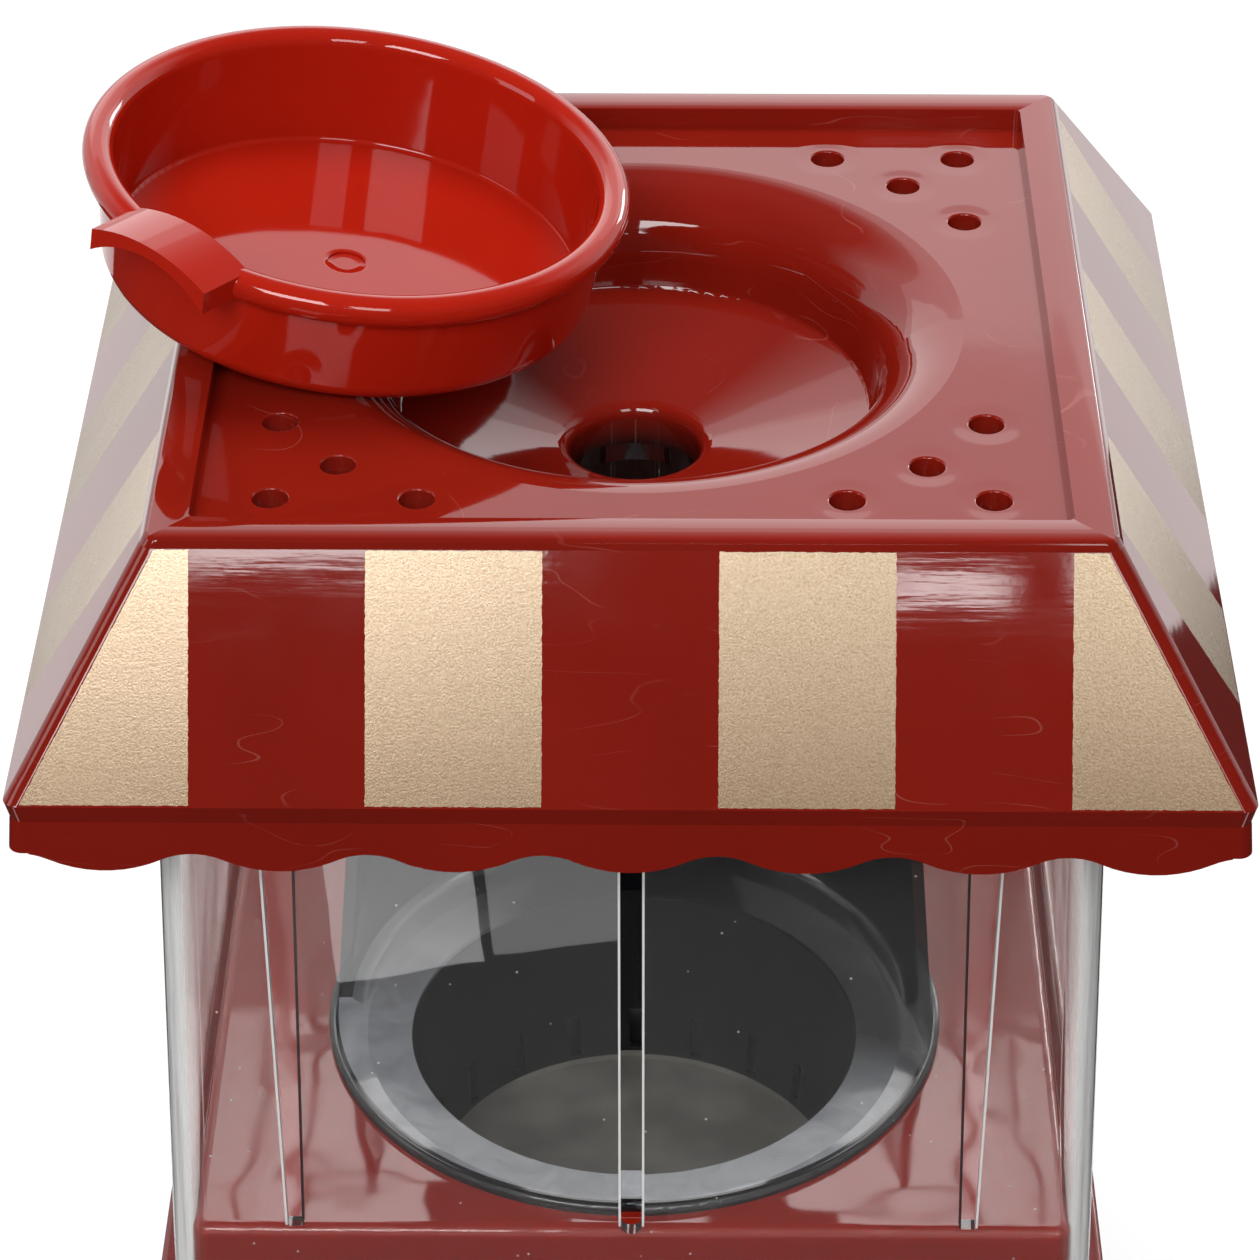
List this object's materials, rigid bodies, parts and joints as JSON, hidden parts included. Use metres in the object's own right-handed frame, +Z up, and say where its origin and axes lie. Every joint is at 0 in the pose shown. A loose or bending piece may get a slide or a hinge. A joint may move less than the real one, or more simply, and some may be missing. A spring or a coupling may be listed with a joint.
{
  "type": "popcorn maker",
  "caption": "Hot-air popcorn maker shaped like a small fairground booth: striped roof with a funnel and measuring cup, clear case, popping chamber with a chute, and a square base.",
  "frame": {"origin": "on the surface it stands on, under the middle of the square body", "axes": "+Z up, -Y the front with the switch and the slotted case wall, +X to the right seen from the front"},
  "size_m": [0.2, 0.2, 0.328],
  "materials": {
    "red_abs": "glossy moulded red, painted stripes on the roof",
    "cup_red": "glossy moulded red",
    "clear_styrene": "clear, polished mould",
    "black_enamel": "glossy black",
    "chamber_aluminium": "dark wall, matt grey floor",
    "silicone": "satin",
    "foot_rubber": "matt",
    "zinc_steel": "bright zinc plate",
    "duct_steel": "galvanised",
    "mica": "flaky sheet",
    "nichrome": "dull drawn wire",
    "black_plastic": "satin",
    "rocker_red": "glossy",
    "nylon_white": "satin moulded nylon",
    "board_green": "satin board with black diodes",
    "brass": "turned"
  },
  "bodies": {
    "base": {"popping_deck": "red_abs", "chute_hood": "black_enamel", "popping_chamber": "chamber_aluminium", "base_housing": "red_abs", "base_plate": "black_plastic", "rubber_feet": "foot_rubber", "base_screws": "zinc_steel", "deck_screws": "zinc_steel", "chute_screws": "zinc_steel", "chamber_gasket": "silicone", "air_duct": "duct_steel", "heater_frame": "mica", "heater_coil": "nichrome", "thermostat": "black_plastic", "thermal_fuse": "zinc_steel", "motor_can": "duct_steel", "motor_end_cap": "black_plastic", "rectifier_board": "board_green", "motor_screws": "zinc_steel", "terminal_block": "nylon_white", "switch_housing": "black_plastic", "cord_gland": "black_plastic"},
    "fan": {"fan_impeller": "nylon_white", "fan_nut": "brass", "motor_shaft": "zinc_steel"},
    "power_rocker": {"power_rocker": "rocker_red"},
    "case": {"clear_case": "clear_styrene"},
    "roof": {"roof_canopy": "red_abs"},
    "cup": {"measuring_cup": "cup_red"}
  },
  "joints": [
    {"name": "fan_spin", "type": "hinge", "parent": "base", "child": "fan", "pos_m": [0, -0.02262, 0.065], "axis": [0, 0, 1], "continuous": true},
    {"name": "power_switch", "type": "hinge", "parent": "base", "child": "power_rocker", "pos_m": [0.056, -0.0816, 0.034], "axis": [-1, 0, 0], "range_deg": [0, 14]},
    {"name": "case_lift", "type": "slide", "parent": "base", "child": "case", "axis": [0, 0, 1], "range_m": [0, 0.095]},
    {"name": "roof_lift", "type": "slide", "parent": "case", "child": "roof", "axis": [0, 0, 1], "range_m": [0, 0.045]},
    {"name": "cup_lift", "type": "slide", "parent": "roof", "child": "cup", "axis": [0, 0, 1], "range_m": [0, 0.03]}
  ]
}
